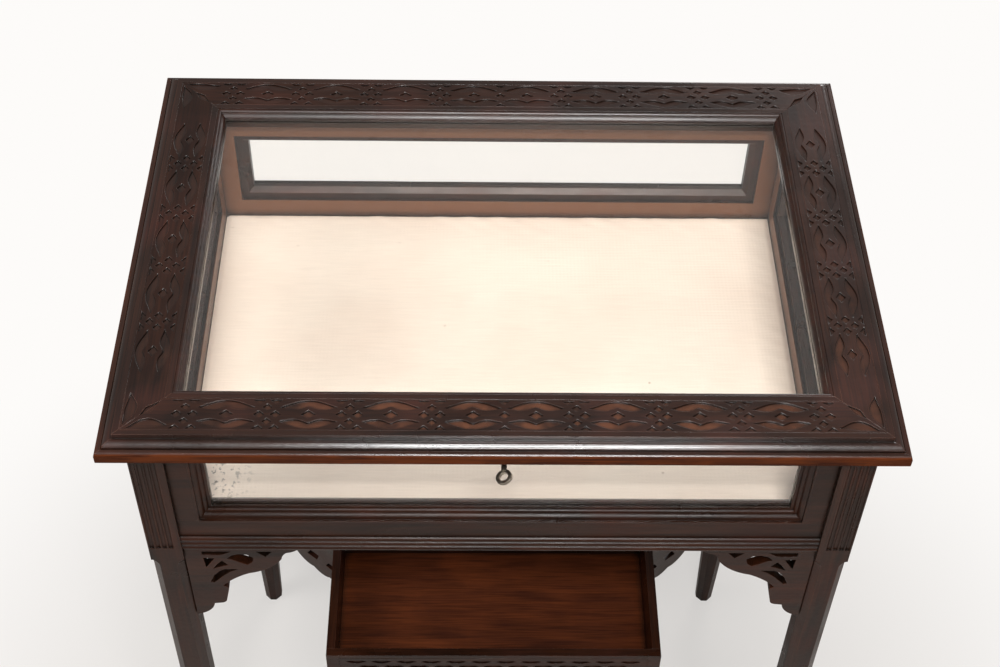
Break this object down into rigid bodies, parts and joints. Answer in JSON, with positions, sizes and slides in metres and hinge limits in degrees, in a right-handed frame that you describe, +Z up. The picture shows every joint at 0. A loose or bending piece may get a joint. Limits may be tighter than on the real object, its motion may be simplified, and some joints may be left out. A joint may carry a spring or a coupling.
{
  "type": "glazed display table",
  "caption": "Glazed display table: lidded case with windows on all sides and a lined floor, hinged framed glass lid, fluted legs, pierced corner brackets, small tray on diagonal boards.",
  "frame": {"origin": "on the floor, under the middle of the bounding box", "axes": "+X to the right when the keyhole is faced, along the table's length; +Y from the keyhole to the hinges; +Z up"},
  "size_m": [0.563, 0.4066, 0.76],
  "materials": {
    "mahogany": "polished dark mahogany",
    "glass": "clear polished",
    "silk": "woven silk, lightly padded",
    "brass": "aged",
    "dark_metal": "worn dark bronze"
  },
  "bodies": {
    "table": {"leg_front_left": "mahogany", "leg_front_right": "mahogany", "leg_back_right": "mahogany", "leg_back_left": "mahogany", "top_rail_front": "mahogany", "bottom_rail_front": "mahogany", "window_frame_front": "mahogany", "base_moulding_front": "mahogany", "pane_front": "glass", "bracket_front_left": "mahogany", "bracket_front_right": "mahogany", "top_rail_right": "mahogany", "bottom_rail_right": "mahogany", "window_frame_right": "mahogany", "base_moulding_right": "mahogany", "pane_right": "glass", "bracket_right_left": "mahogany", "bracket_right_right": "mahogany", "top_rail_back": "mahogany", "bottom_rail_back": "mahogany", "window_frame_back": "mahogany", "base_moulding_back": "mahogany", "pane_back": "glass", "bracket_back_left": "mahogany", "bracket_back_right": "mahogany", "top_rail_left": "mahogany", "bottom_rail_left": "mahogany", "window_frame_left": "mahogany", "base_moulding_left": "mahogany", "pane_left": "glass", "bracket_left_left": "mahogany", "bracket_left_right": "mahogany", "glazing_beads": "mahogany", "case_floor": "mahogany", "lining": "silk", "lock_body": "brass", "escutcheon": "brass", "hinge_left_case_leaf": "brass", "hinge_right_case_leaf": "brass", "tray_floor": "mahogany", "tray_wall_front": "mahogany", "tray_wall_right": "mahogany", "tray_wall_back": "mahogany", "tray_wall_left": "mahogany", "diagonal_board_front_left": "mahogany", "diagonal_board_front_right": "mahogany", "diagonal_board_back_right": "mahogany", "diagonal_board_back_left": "mahogany"},
    "lid": {"lid_front": "mahogany", "lid_right": "mahogany", "lid_back": "mahogany", "lid_left": "mahogany", "lid_glazing_moulding": "mahogany", "lid_retaining_bead": "mahogany", "lid_glass": "glass", "hinge_left_lid_leaf": "brass", "hinge_right_lid_leaf": "brass", "striker_plate": "brass"},
    "key": {"key": "dark_metal"},
    "bolt": {"lock_bolt": "brass"}
  },
  "joints": [
    {"name": "lid_hinge", "type": "hinge", "parent": "table", "child": "lid", "pos_m": [0, 0.1878, 0.7412], "axis": [-1, 0, 0], "range_deg": [0, 90]},
    {"name": "key_turn", "type": "hinge", "parent": "table", "child": "key", "pos_m": [0, -0.1987, 0.7272], "axis": [0, 1, 0], "range_deg": [0, 180]},
    {"name": "bolt_slide", "type": "slide", "parent": "table", "child": "bolt", "axis": [1, 0, 0], "range_m": [0, 0.005]}
  ],
  "couplings": [
    {"joint": "bolt_slide", "follows": "key_turn", "m_per_rad": 0.0015915}
  ]
}
